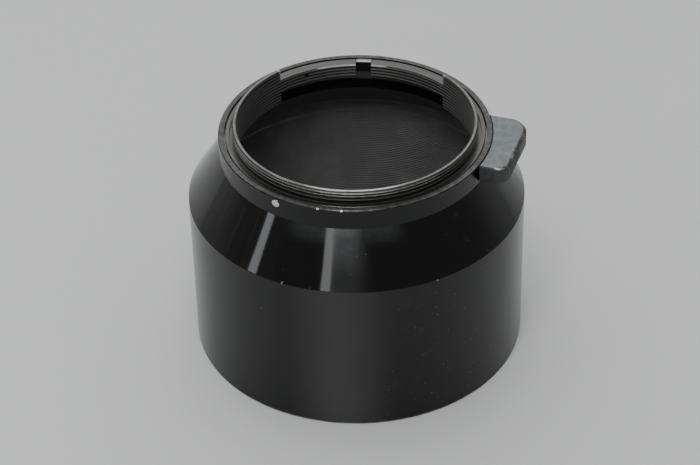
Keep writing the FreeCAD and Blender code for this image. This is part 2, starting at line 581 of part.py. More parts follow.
# ---------------------------------------------------------------- index bead, domed
bead = doc.addObject("PartDesign::Body", "bead_body")
sk = turned(bead, "bead_profile", None)
dome_r, seat = D["bead_rad"], 28.83 - D["bead_seat"]
prof = [(0.0, 0.0), (dome_r, 0.0), (dome_r, seat)]
for k in range(1, 8):
    a = math.pi / 2 * k / 8.0
    prof.append((dome_r * math.cos(a), seat + (D["bead_proud"] - 28.83) * math.sin(a)))
prof.append((0.0, D["bead_proud"] - D["bead_seat"]))
freehand(sk, prof)
revolve(bead, sk, "bead_turn")
bead.Placement = radial(D["bead_deg"], D["bead_seat"], D["bead_up"])
node("index_bead", bead)

doc.recompute()
bad = []
for o in doc.Objects:
    if any(w in ("Invalid", "Error") for w in o.State):
        bad.append(o.Name + " " + str(o.State))
for name, obj in NODES.items():
    s = obj.Shape
    if s.isNull() or not s.isValid() or s.Volume <= 0:
        bad.append("shape " + name)
if bad:
    raise RuntimeError("failed objects: " + "; ".join(bad))
os.makedirs("parts", exist_ok=True)
for name, obj in NODES.items():
    s = obj.Shape
    s.exportStep("parts/" + name + ".step")
    b = s.BoundBox
    print("%-20s solids %d vol %9.3f  x %.2f..%.2f y %.2f..%.2f z %.2f..%.2f" % (name, len(s.Solids), s.Volume, b.XMin, b.XMax, b.YMin, b.YMax, b.ZMin, b.ZMax))
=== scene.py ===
import math

import bmesh
import bpy
from mathutils import Matrix, Vector


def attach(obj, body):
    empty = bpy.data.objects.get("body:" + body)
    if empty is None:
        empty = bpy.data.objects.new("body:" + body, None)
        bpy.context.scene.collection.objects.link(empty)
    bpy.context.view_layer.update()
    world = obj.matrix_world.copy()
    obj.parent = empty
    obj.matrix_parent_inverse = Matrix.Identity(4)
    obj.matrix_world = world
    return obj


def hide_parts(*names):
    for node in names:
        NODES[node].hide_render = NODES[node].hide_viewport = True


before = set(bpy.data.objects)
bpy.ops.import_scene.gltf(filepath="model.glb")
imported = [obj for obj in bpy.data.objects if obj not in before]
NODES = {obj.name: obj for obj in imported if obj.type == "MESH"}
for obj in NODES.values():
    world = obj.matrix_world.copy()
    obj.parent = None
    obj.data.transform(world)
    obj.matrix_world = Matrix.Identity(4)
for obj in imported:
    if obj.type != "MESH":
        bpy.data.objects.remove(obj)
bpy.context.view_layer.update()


# ------------------------------------------------------------------ node helper
class Net:
    """Builds one procedural material. Lengths in it are millimetres in the row frame."""

    def __init__(self, name):
        self.m = bpy.data.materials.new(name)
        self.m.use_nodes = True
        self.t = self.m.node_tree
        self.t.nodes.clear()
        out = self.new("ShaderNodeOutputMaterial")
        self.b = self.new("ShaderNodeBsdfPrincipled")
        self.link(self.b.outputs[0], out.inputs[0])
        tc = self.new("ShaderNodeTexCoord")
        mm = self.new("ShaderNodeVectorMath")
        mm.operation = "SCALE"
        self.link(tc.outputs["Object"], mm.inputs[0])
        mm.inputs[3].default_value = 1000.0
        self.p = mm.outputs[0]
        sep = self.new("ShaderNodeSeparateXYZ")
        self.link(self.p, sep.inputs[0])
        self.x, self.y, self.z = sep.outputs
        self.r = self.op("SQRT", self.op("ADD", self.op("MULTIPLY", self.x, self.x), self.op("MULTIPLY", self.y, self.y)))
        self.phi = self.op("ARCTAN2", self.y, self.x)
        self.nbump = None

    def new(self, kind):
        return self.t.nodes.new(kind)

    def link(self, a, b):
        self.t.links.new(a, b)

    def put(self, sock, v):
        if isinstance(v, (int, float)):
            sock.default_value = v
        elif isinstance(v, (tuple, list)):
            sock.default_value = tuple(v) + ((1.0,) if len(v) == 3 and len(sock.default_value) == 4 else ())
        else:
            self.link(v, sock)

    def op(self, kind, a, b=None, c=None, clamp=False):
        n = self.new("ShaderNodeMath")
        n.operation = kind
        n.use_clamp = clamp
        self.put(n.inputs[0], a)
        if b is not None:
            self.put(n.inputs[1], b)
        if c is not None:
            self.put(n.inputs[2], c)
        return n.outputs[0]

    def add(self, *a):
        v = a[0]
        for w in a[1:]:
            v = self.op("ADD", v, w)
        return v

    def mul(self, *a):
        v = a[0]
        for w in a[1:]:
            v = self.op("MULTIPLY", v, w)
        return v

    def step(self, v, lo, hi, a=0.0, b=1.0):
        n = self.new("ShaderNodeMapRange")
        n.interpolation_type = "SMOOTHSTEP"
        self.put(n.inputs[0], v)
        n.inputs[1].default_value = lo
        n.inputs[2].default_value = hi
        n.inputs[3].default_value = a
        n.inputs[4].default_value = b
        return n.outputs[0]

    def band(self, v, lo, hi, soft):
        """1 between lo and hi, falling to 0 over soft on each side."""
        return self.mul(self.step(v, lo - soft, lo), self.step(v, hi, hi + soft, 1.0, 0.0))

    def vec(self, x, y, z):
        n = self.new("ShaderNodeCombineXYZ")
        self.put(n.inputs[0], x)
        self.put(n.inputs[1], y)
        self.put(n.inputs[2], z)
        return n.outputs[0]

    def scaled(self, v, s):
        n = self.new("ShaderNodeVectorMath")
        n.operation = "MULTIPLY"
        self.link(v, n.inputs[0])
        n.inputs[1].default_value = s
        return n.outputs[0]

    def noise(self, v, scale, detail=3.0, rough=0.5, distort=0.0):
        n = self.new("ShaderNodeTexNoise")
        self.link(v, n.inputs["Vector"])
        n.inputs["Scale"].default_value = scale
        n.inputs["Detail"].default_value = detail
        n.inputs["Roughness"].default_value = rough
        n.inputs["Distortion"].default_value = distort
        return n.outputs[0]

    def cells(self, v, scale, feature="F1", rand=1.0):
        n = self.new("ShaderNodeTexVoronoi")
        n.feature = feature
        self.link(v, n.inputs["Vector"])
        n.inputs["Scale"].default_value = scale
        n.inputs["Randomness"].default_value = rand
        return n

    def turned(self, stretch=1.0):
        """Coordinates that run along the lathe marks: slow round the axis, fast across."""
        return self.vec(self.mul(self.phi, stretch), self.r, self.z)

    def mix(self, f, a, b):
        n = self.new("ShaderNodeMix")
        n.data_type = "RGBA"
        n.clamp_factor = True
        self.put(n.inputs[0], f)
        self.put(n.inputs[6], a)
        self.put(n.inputs[7], b)
        return n.outputs[2]

    def lerp(self, f, a, b):
        n = self.new("ShaderNodeMix")
        n.data_type = "FLOAT"
        n.clamp_factor = True
        self.put(n.inputs[0], f)
        self.put(n.inputs[2], a)
        self.put(n.inputs[3], b)
        return n.outputs[0]

    def specks(self, v, scale, lo, hi, keep=0.8, salt=0.0):
        """Small round spots: Voronoi cells of which only a share is kept."""
        c = self.cells(v, scale)
        spot = self.step(c.outputs["Distance"], lo, hi, 1.0, 0.0)
        sep = self.new("ShaderNodeSeparateColor")
        self.link(c.outputs["Color"], sep.inputs[0])
        pick = self.step(sep.outputs[0], keep, keep + 0.02)
        return self.mul(spot, pick)

    def bump(self, height, dist_mm, strength=1.0):
        n = self.new("ShaderNodeBump")
        n.inputs["Strength"].default_value = strength
        n.inputs["Distance"].default_value = dist_mm * 0.001
        self.link(height, n.inputs["Height"])
        if self.nbump is not None:
            self.link(self.nbump, n.inputs["Normal"])
        self.nbump = n.outputs[0]
        self.link(self.nbump, self.b.inputs["Normal"])

    def set(self, **kw):
        names = {"color": "Base Color", "metal": "Metallic", "rough": "Roughness", "ior": "IOR", "spec": "Specular IOR Level",
                 "coat": "Coat Weight", "coat_rough": "Coat Roughness"}
        for k, v in kw.items():
            self.put(self.b.inputs[names[k]], v)
        return self


def fleck(n, scale=0.55, keep=0.86, lo=0.045, hi=0.085):
    return n.specks(n.p, scale, lo, hi, keep)


# ------------------------------------------------------------------ materials
def barrel_black():
    n = Net("barrel_matte_black")
    grain = n.noise(n.p, 9.0, 4.0, 0.6)
    cloud = n.noise(n.p, 0.09, 3.0, 0.55)
    lathe = n.noise(n.vec(n.mul(n.phi, 1.6), n.r, n.mul(n.z, 7.0)), 1.0, 3.0, 0.6)
    scuff = n.noise(n.vec(n.mul(n.phi, 60.0), n.r, n.mul(n.z, 0.22)), 0.6, 3.0, 0.55)
    scuff = n.step(scuff, 0.66, 0.78)
    outside = n.step(n.r, 35.2, 35.6)
    # the right-hand flank carries more dust and fine marks than the rest
    flank = n.band(n.phi, math.radians(-72.0), math.radians(-18.0), 0.35)
    specks = n.op("MAXIMUM", n.specks(n.p, 0.50, 0.045, 0.085, 0.90), n.mul(n.specks(n.p, 0.85, 0.06, 0.12, 0.50), flank))
    fine = n.mul(n.specks(n.p, 2.1, 0.05, 0.12, 0.90), n.lerp(flank, 0.35, 1.0))
    hair_v = n.vec(n.mul(n.phi, 9.0), n.r, n.mul(n.z, 0.9))
    hair = n.mul(n.step(n.op("ABSOLUTE", n.add(n.noise(hair_v, 1.1, 2.0, 0.5, 1.4), -0.5)), 0.002, 0.006, 1.0, 0.0),
                 n.step(n.noise(n.p, 0.21, 2.0, 0.5), 0.60, 0.66), flank)
    base = n.mix(cloud, (0.0010, 0.0010, 0.0011), (0.0026, 0.0026, 0.0027))
    base = n.mix(n.mul(scuff, 0.12, outside), base, (0.045, 0.044, 0.043))
    # painted sheen down the front, stronger towards the bottom: a lighter colour standing in for the front lamp's broad
    # reflection
    painted_front_sheen = n.mul(n.step(n.phi, math.radians(-117.0), math.radians(-98.0)), n.step(n.phi, math.radians(-97.0), math.radians(-75.0), 1.0, 0.0), n.lerp(cloud, 0.8, 1.2))
    base = n.mix(n.mul(painted_front_sheen, n.step(n.z, 0.0, 36.0, 1.0, 0.72)), base, (0.040, 0.040, 0.040))
    edge = n.mul(n.band(n.z, 35.30, 36.0, 0.10), n.step(n.noise(n.p, 0.42, 4.0, 0.62), 0.660, 0.685), outside)
    rim = n.mul(n.step(n.z, 0.1, 0.55, 1.0, 0.0), n.step(n.noise(n.p, 0.8, 3.0, 0.6), 0.42, 0.62), outside)
    base = n.mix(n.mul(specks, 0.75), base, (0.21, 0.205, 0.195))
    base = n.mix(n.mul(fine, 0.40), base, (0.085, 0.083, 0.08))
    base = n.mix(n.mul(hair, 0.45), base, (0.15, 0.148, 0.142))
    wear = n.op("MAXIMUM", n.mul(edge, 0.9), n.mul(rim, 0.7))
    base = n.mix(wear, base, (0.42, 0.42, 0.42))
    # inside: flat black with a film of dust on the ribs, its tone raised far above the outside's black as painted light
    # on the inner wall
    film = n.noise(n.p, 0.16, 3.0, 0.5)
    inside = n.mix(n.step(film, 0.35, 0.75), (0.145, 0.145, 0.146), (0.190, 0.190, 0.190))
    inside = n.mix(n.mul(n.specks(n.p, 0.42, 0.035, 0.07, 0.93), 0.6), inside, (0.34, 0.335, 0.31))
    n.set(color=n.mix(outside, inside, base), metal=n.mul(wear, 0.8),
          rough=n.add(n.lerp(outside, 0.60, 0.155), n.mul(grain, 0.05), n.mul(lathe, 0.03), n.mul(cloud, 0.03), n.mul(specks, 0.2)), ior=1.42)
    n.bump(n.add(n.mul(grain, 0.5), n.mul(lathe, 0.35)), 0.006, 0.6)
    return n.m


def cone_black():
    n = Net("cone_gloss_black")
    cloud = n.noise(n.p, 0.16, 4.0, 0.6)
    fine = n.noise(n.p, 5.0, 4.0, 0.6)
    soft = n.noise(n.p, 0.9, 3.0, 0.6)
    mist_v = n.noise(n.vec(n.mul(n.phi, 30.0), n.mul(n.r, 1.2), n.z), 0.8, 4.0, 0.65)
    # film of fine dust with a painted sheen, thickest right below the collar, on the front: the lighter colour stands
    # in for the front lamp's broad highlight
    high = n.add(n.step(n.z, 37.0, 44.5, 0.22, 0.62), n.step(n.z, 44.4, 46.2, 0.0, 0.38))
    front = n.mul(n.step(n.phi, math.radians(-101.5), math.radians(-98.5)), n.step(n.phi, math.radians(-93.5), math.radians(-84.5), 1.0, 0.0))
    dust_and_sheen = n.mul(front, high, n.lerp(mist_v, 0.6, 1.25))
    wide_dust_and_sheen = n.mul(n.band(n.phi, math.radians(-112.0), math.radians(-78.0), 0.16), n.step(n.z, 42.5, 46.2), 0.30, n.lerp(soft, 0.4, 1.3))
    dust_and_sheen = n.op("MAXIMUM", dust_and_sheen, wide_dust_and_sheen)
    outside = n.step(n.op("ADD", n.r, n.mul(n.z, 0.6454)), 58.15, 58.55)
    drip = n.noise(n.vec(n.mul(n.phi, 14.0), 0.0, n.mul(n.z, 0.05)), 1.0, 3.0, 0.5)
    streaks = n.noise(n.vec(n.mul(n.phi, 26.0), 0.0, n.mul(n.z, 0.04)), 1.0, 3.0, 0.6)
    left = n.band(n.phi, math.radians(-166.0), math.radians(-128.0), 0.2)
    brown = n.mul(n.step(drip, 0.52, 0.70), left)
    dust = n.specks(n.p, 0.60, 0.04, 0.080, 0.78)
    ring = n.mul(n.band(n.cells(n.p, 0.36).outputs["Distance"], 0.13, 0.155, 0.012), n.step(n.noise(n.p, 0.10, 1.0, 0.5), 0.60, 0.62))
    mist = n.specks(n.p, 2.6, 0.06, 0.13, 0.88)
    base = n.mix(cloud, (0.0016, 0.0016, 0.0017), (0.0034, 0.0034, 0.0035))
    base = n.mix(n.mul(n.step(streaks, 0.45, 0.8), left, 0.5), base, (0.012, 0.0115, 0.011))
    base = n.mix(n.mul(brown, 0.30), base, (0.034, 0.019, 0.010))
    # dust film and painted sheen on the front below the collar
    base = n.mix(n.mul(dust_and_sheen, 0.90), base, (0.120, 0.121, 0.125))
    base = n.mix(n.mul(dust, 0.65), base, (0.20, 0.195, 0.185))
    base = n.mix(n.mul(ring, 0.14), base, (0.15, 0.148, 0.142))
    base = n.mix(n.mul(mist, 0.25), base, (0.085, 0.084, 0.08))
    low = n.mul(n.step(n.z, 35.72, 35.95, 1.0, 0.0), n.step(n.noise(n.p, 0.42, 4.0, 0.65), 0.655, 0.68), outside)
    film = n.noise(n.p, 0.16, 3.0, 0.5)
    # ribbed inner wall: dust film, with the tone raised as painted light on the wall; the cone's inner face above it
    # keeps a dark black
    ribbed = n.mix(n.step(film, 0.35, 0.75), (0.145, 0.145, 0.146), (0.190, 0.190, 0.190))
    inside = n.mix(n.step(n.z, 35.25, 35.5), ribbed, n.mix(cloud, (0.016, 0.016, 0.016), (0.025, 0.025, 0.025)))
    base = n.mix(n.mul(low, 0.9), base, (0.45, 0.45, 0.45))
    n.set(color=n.mix(outside, inside, base), metal=n.mul(low, 0.8),
          rough=n.lerp(outside, 0.6, n.add(0.045, n.mul(soft, 0.03), n.mul(dust_and_sheen, 0.10), n.mul(dust, 0.3))), ior=1.49)
    n.bump(fine, 0.003, 0.25)
    return n.m


def collar_black():
    n = Net("collar_satin_black")
    lathe = n.noise(n.vec(n.mul(n.phi, 2.0), n.mul(n.r, 6.0), n.mul(n.z, 6.0)), 1.0, 3.0, 0.6)
    grain = n.noise(n.p, 7.0, 4.0, 0.6)
    nick = n.noise(n.p, 0.9, 4.0, 0.65)
    chips = n.noise(n.p, 0.75, 3.0, 0.6)
    top = n.step(n.z, 50.80, 50.85)
    bevel = n.mul(n.step(n.r, 28.74, 28.80), n.step(n.z, 50.66, 50.72))
    side = n.mul(n.step(n.r, 28.80, 28.90), n.step(n.z, 50.15, 50.72), n.step(chips, 0.735, 0.75))
    base = n.mix(n.noise(n.p, 0.3, 3.0, 0.5), (0.0035, 0.0035, 0.0037), (0.0065, 0.0065, 0.0067))
    dust = n.specks(n.p, 0.7, 0.04, 0.08, 0.90)
    base = n.mix(n.mul(dust, 0.5), base, (0.15, 0.145, 0.135))
    worn = n.mix(n.mul(n.step(nick, 0.35, 0.65), n.lerp(lathe, 0.5, 1.0)), (0.055, 0.056, 0.054), (0.115, 0.115, 0.110))
    base = n.mix(top, base, worn)
    base = n.mix(n.mul(bevel, n.step(nick, 0.30, 0.60), 0.4), base, (0.16, 0.16, 0.158))
    spot = n.mul(n.step(n.r, 28.72, 28.80), n.step(n.z, 50.48, 50.56), n.step(nick, 0.25, 0.35),
                 n.op("MAXIMUM", n.band(n.phi, math.radians(-106.3), math.radians(-105.6), 0.004), n.band(n.phi, math.radians(-96.6), math.radians(-95.9), 0.004)))
    side = n.op("MAXIMUM", side, spot)
    base = n.mix(side, base, (0.62, 0.62, 0.61))
    n.set(color=base, metal=n.op("MAXIMUM", n.mul(n.op("MAXIMUM", top, bevel), 0.92), n.mul(side, 0.6)),
          rough=n.add(n.lerp(top, 0.20, 0.24), n.mul(grain, 0.08), n.mul(lathe, 0.06)), ior=1.38)
    n.bump(n.add(n.mul(grain, 0.4), n.mul(lathe, 0.5)), 0.008, 0.7)
    return n.m


def mount_grey():
    n = Net("mount_worn_metal")
    rings = n.noise(n.vec(n.mul(n.phi, 1.3), n.mul(n.r, 9.0), n.mul(n.z, 9.0)), 1.0, 4.0, 0.65)
    fine = n.noise(n.vec(n.mul(n.phi, 5.0), n.mul(n.r, 26.0), n.mul(n.z, 26.0)), 1.0, 2.0, 0.5)
    patch = n.noise(n.p, 0.22, 4.0, 0.6)
    pits = n.noise(n.p, 4.0, 4.0, 0.6)
    crest = n.mul(n.step(n.r, 25.84, 25.93), n.step(n.z, 51.5, 51.7))
    rim = n.mul(n.step(n.z, 53.16, 53.27), n.step(n.r, 25.04, 25.10))
    root = n.mul(n.band(n.r, 25.3, 25.80, 0.03), n.step(n.z, 51.1, 51.3), n.step(n.z, 53.05, 53.16, 1.0, 0.0))
    gutter = n.mul(n.step(n.r, 26.50, 26.60, 1.0, 0.0), n.step(n.z, 50.55, 50.68, 1.0, 0.0), n.step(n.r, 25.4, 25.5), n.step(n.z, 50.1, 50.15))
    # painted shade in the bore: the rib valleys are coloured darker than their crests
    valley = n.step(n.r, 25.02, 25.16)
    inside = n.step(n.r, 25.26, 25.32, 1.0, 0.0)
    low_edge = n.mul(n.step(n.r, 25.22, 25.32, 1.0, 0.0), n.band(n.z, 50.52, 50.72, 0.03),
                     n.band(n.phi, math.radians(76.0), math.radians(106.0), 0.07), n.step(n.noise(n.p, 1.1, 3.0, 0.6), 0.30, 0.48))
    # painted glints on the top corners of the two steps
    painted_step_glints = n.mul(n.op("MAXIMUM", n.band(n.phi, math.radians(39.4), math.radians(40.9), 0.004), n.band(n.phi, math.radians(129.1), math.radians(130.4), 0.004)),
                 n.band(n.z, 52.7, 53.3, 0.1))
    base = n.mix(n.add(n.mul(n.step(rings, 0.38, 0.62), 0.6), n.mul(patch, 0.4)), (0.058, 0.058, 0.056), (0.145, 0.144, 0.138))
    base = n.mix(n.mul(n.step(pits, 0.58, 0.70), 0.35), base, (0.10, 0.10, 0.10))
    shade = n.mix(valley, (0.105, 0.104, 0.100), (0.022, 0.022, 0.022))
    base = n.mix(n.mul(inside, n.step(n.z, 53.1, 53.2, 1.0, 0.0)), base, shade)
    # painted shade in the thread roots between the crests
    base = n.mix(n.mul(root, 0.80), base, (0.060, 0.060, 0.058))
    # painted shade on the groove floor at the foot of the threads
    base = n.mix(n.mul(gutter, 0.5), base, (0.07, 0.07, 0.07))
    worn = n.step(n.noise(n.p, 0.8, 4.0, 0.6), 0.32, 0.62)
    # painted highlight: crests and rim are coloured brighter at the front, where the front lamp catches them; the worn
    # mottling on them is wear
    front = n.band(n.phi, math.radians(-104.0), math.radians(-78.0), 0.25)
    base = n.mix(n.mul(crest, n.lerp(worn, 0.25, 0.85), n.lerp(front, 0.55, 1.0)), base, (0.44, 0.44, 0.42))
    base = n.mix(n.mul(rim, n.lerp(worn, 0.45, 1.0), n.lerp(front, 0.20, 1.0)), base, (0.60, 0.55, 0.50))
    # worn bright inner edge by the slit, and painted glints at the step corners
    base = n.mix(n.op("MAXIMUM", n.mul(low_edge, 0.65), n.mul(painted_step_glints, n.lerp(worn, 0.1, 0.6))), base, (0.80, 0.76, 0.64))
    n.set(color=base, metal=n.lerp(n.op("MAXIMUM", n.mul(inside, n.step(n.z, 53.1, 53.2, 1.0, 0.0)), gutter), 0.90, 0.20),
          rough=n.add(0.17, n.mul(fine, 0.12), n.mul(patch, 0.06), n.mul(inside, 0.22), n.mul(root, 0.15)))
    n.bump(n.add(n.mul(rings, 0.6), n.mul(fine, 0.3), n.mul(pits, 0.2)), 0.010, 0.8)
    return n.m


def lever_metal():
    n = Net("lever_worn_metal")
    blot = n.noise(n.p, 0.55, 4.0, 0.6, 0.3)
    blot2 = n.noise(n.p, 1.9, 4.0, 0.65)
    grain = n.noise(n.p, 8.0, 4.0, 0.6)
    sep = n.new("ShaderNodeSeparateXYZ")
    tc = n.new("ShaderNodeTexCoord")
    n.link(tc.outputs["Normal"], sep.inputs[0])
    up = sep.outputs[2]
    top = n.step(up, 0.93, 0.992)
    edge = n.mul(n.step(up, 0.22, 0.5), n.step(up, 0.90, 0.99, 1.0, 0.0), n.step(n.z, 50.2, 50.5))
    light = n.mix(n.step(blot, 0.35, 0.7), (0.150, 0.173, 0.187), (0.232, 0.254, 0.268))
    light = n.mix(n.mul(n.step(blot2, 0.58, 0.74), 0.45), light, (0.165, 0.182, 0.195))
    scr = n.noise(n.vec(n.mul(n.x, 1.4), n.mul(n.y, 12.0), n.z), 1.0, 3.0, 0.6)
    light = n.mix(n.mul(n.step(scr, 0.62, 0.72), 0.35), light, (0.44, 0.455, 0.46))
    dark = n.mix(n.step(blot2, 0.4, 0.7), (0.036, 0.037, 0.038), (0.068, 0.070, 0.072))
    # painted shade: the sides and end of the tab are coloured darker than its upward-facing top
    base = n.mix(top, dark, light)
    # painted highlight along the near top edge, where the front lamp catches the round-over; worn bright only in places
    # elsewhere
    near = n.band(n.add(n.mul(n.x, 0.3284), n.mul(n.y, 0.9446)), -4.74, -4.40, 0.10)
    highlight_and_wear = n.op("MAXIMUM", n.mul(near, 0.90), n.mul(n.step(n.noise(n.p, 0.7, 3.0, 0.6), 0.50, 0.64), 0.35))
    base = n.mix(n.mul(edge, highlight_and_wear), base, (0.62, 0.63, 0.63))
    n.set(color=base, metal=n.lerp(top, 0.25, 0.30), rough=n.add(0.40, n.mul(grain, 0.12), n.mul(blot, 0.08)))
    n.bump(n.add(n.mul(blot2, 0.6), n.mul(grain, 0.35)), 0.03, 0.8)
    return n.m


def steel():
    n = Net("plain_steel")
    rings = n.noise(n.vec(n.mul(n.phi, 2.0), n.mul(n.r, 12.0), n.mul(n.z, 12.0)), 1.0, 3.0, 0.6)
    grain = n.noise(n.p, 6.0, 3.0, 0.6)
    n.set(color=n.mix(rings, (0.24, 0.24, 0.24), (0.38, 0.38, 0.375)), metal=1.0, rough=n.add(0.30, n.mul(grain, 0.14)))
    n.bump(rings, 0.006, 0.6)
    return n.m


def key_dark():
    n = Net("blackened_steel")
    grain = n.noise(n.p, 5.0, 4.0, 0.6)
    top = n.mul(n.step(n.z, 50.50, 50.58), n.step(grain, 0.3, 0.5))
    n.set(color=n.mix(top, n.mix(grain, (0.020, 0.020, 0.021), (0.045, 0.045, 0.045)), (0.5, 0.49, 0.46)), metal=0.6, rough=n.add(0.30, n.mul(grain, 0.15)))
    n.bump(grain, 0.01, 0.6)
    return n.m


def inner_black():
    n = Net("inner_matte_black")
    grain = n.noise(n.p, 7.0, 3.0, 0.6)
    n.set(color=n.mix(grain, (0.010, 0.010, 0.010), (0.02, 0.02, 0.02)), rough=n.add(0.5, n.mul(grain, 0.15)))
    n.bump(grain, 0.01, 0.6)
    return n.m


def bead_silver():
    n = Net("bead_polished")
    grain = n.noise(n.p, 3.0, 4.0, 0.6)
    n.set(color=n.mix(grain, (0.50, 0.50, 0.49), (0.68, 0.68, 0.66)), metal=n.add(0.85, n.mul(grain, 0.1)), rough=n.add(0.14, n.mul(grain, 0.1)))
    n.bump(grain, 0.006, 0.5)
    return n.m


def floor_paper():
    n = Net("floor_paper")
    soft = n.noise(n.p, 0.01, 2.0, 0.5)
    fine = n.noise(n.p, 1.5, 3.0, 0.6)
    n.set(color=n.mix(n.add(n.mul(soft, 0.7), n.mul(fine, 0.3)), (0.738, 0.757, 0.750), (0.756, 0.775, 0.768)), rough=n.add(0.80, n.mul(fine, 0.05)), spec=0.1)
    n.bump(fine, 0.02, 0.15)
    return n.m


MATS = {"barrel_black": barrel_black(), "cone_black": cone_black(), "collar_black": collar_black(), "inner_black": inner_black(),
        "mount_grey": mount_grey(), "lever_grey": lever_metal(), "steel": steel(), "key_dark": key_dark(), "bead_silver": bead_silver()}
for name, obj in NODES.items():
    for s in obj.material_slots:
        key = s.material.name.split(".")[0] if s.material else None
        if key in MATS:
            s.material = MATS[key]

# ------------------------------------------------------------------ lever tab, with its worn round-over and fine serrations
MM = 0.001
T_DIR, T_END, T_NEAR, T_FAR, T_IN = math.radians(-19.17), 34.55, -5.04, 13.8, 29.05
T_BOT, T_TOP, RN, RF = 46.94, 50.70, 3.0, 4.28


def soft_noise(x, k):
    return (math.sin(x * 1.7 + k) + 0.6 * math.sin(x * 3.9 + 2.3 * k) + 0.35 * math.sin(x * 8.1 + 4.1 * k)) / 1.95


def tab_outline():
    """Points of the tab's outline with outward normal and the part each belongs to."""
    run = []
    a0 = math.sqrt(T_IN ** 2 - T_NEAR ** 2)
    b0 = math.sqrt(T_IN ** 2 - T_FAR ** 2)

    def line(p, q, step, part):
        d = math.hypot(q[0] - p[0], q[1] - p[1])
        m = max(2, int(d / step))
        nx, ny = (q[1] - p[1]) / d, -(q[0] - p[0]) / d
        for i in range(m):
            t = i / m
            run.append((p[0] + (q[0] - p[0]) * t, p[1] + (q[1] - p[1]) * t, nx, ny, part))

    def arc(c, r, t0, t1, step, part):
        m = max(3, int(abs(t1 - t0) * r / step))
        for i in range(m):
            t = t0 + (t1 - t0) * i / m
            s_ = 1.0 if part != "collar" else -1.0
            run.append((c[0] + r * math.cos(t), c[1] + r * math.sin(t), s_ * math.cos(t), s_ * math.sin(t), part))

    line((a0, T_NEAR), (T_END - RN, T_NEAR), 0.075, "front")
    arc((T_END - RN, T_NEAR + RN), RN, -math.pi / 2, 0.0, 0.075, "near")
    line((T_END, T_NEAR + RN), (T_END, T_FAR - RF), 0.075, "end")
    arc((T_END - RF, T_FAR - RF), RF, 0.0, math.pi / 2, 0.12, "far")
    line((T_END - RF, T_FAR), (b0, T_FAR), 0.25, "back")
    arc((0.0, 0.0), T_IN, math.atan2(T_FAR, b0), math.atan2(T_NEAR, a0), 0.3, "collar")
    return run


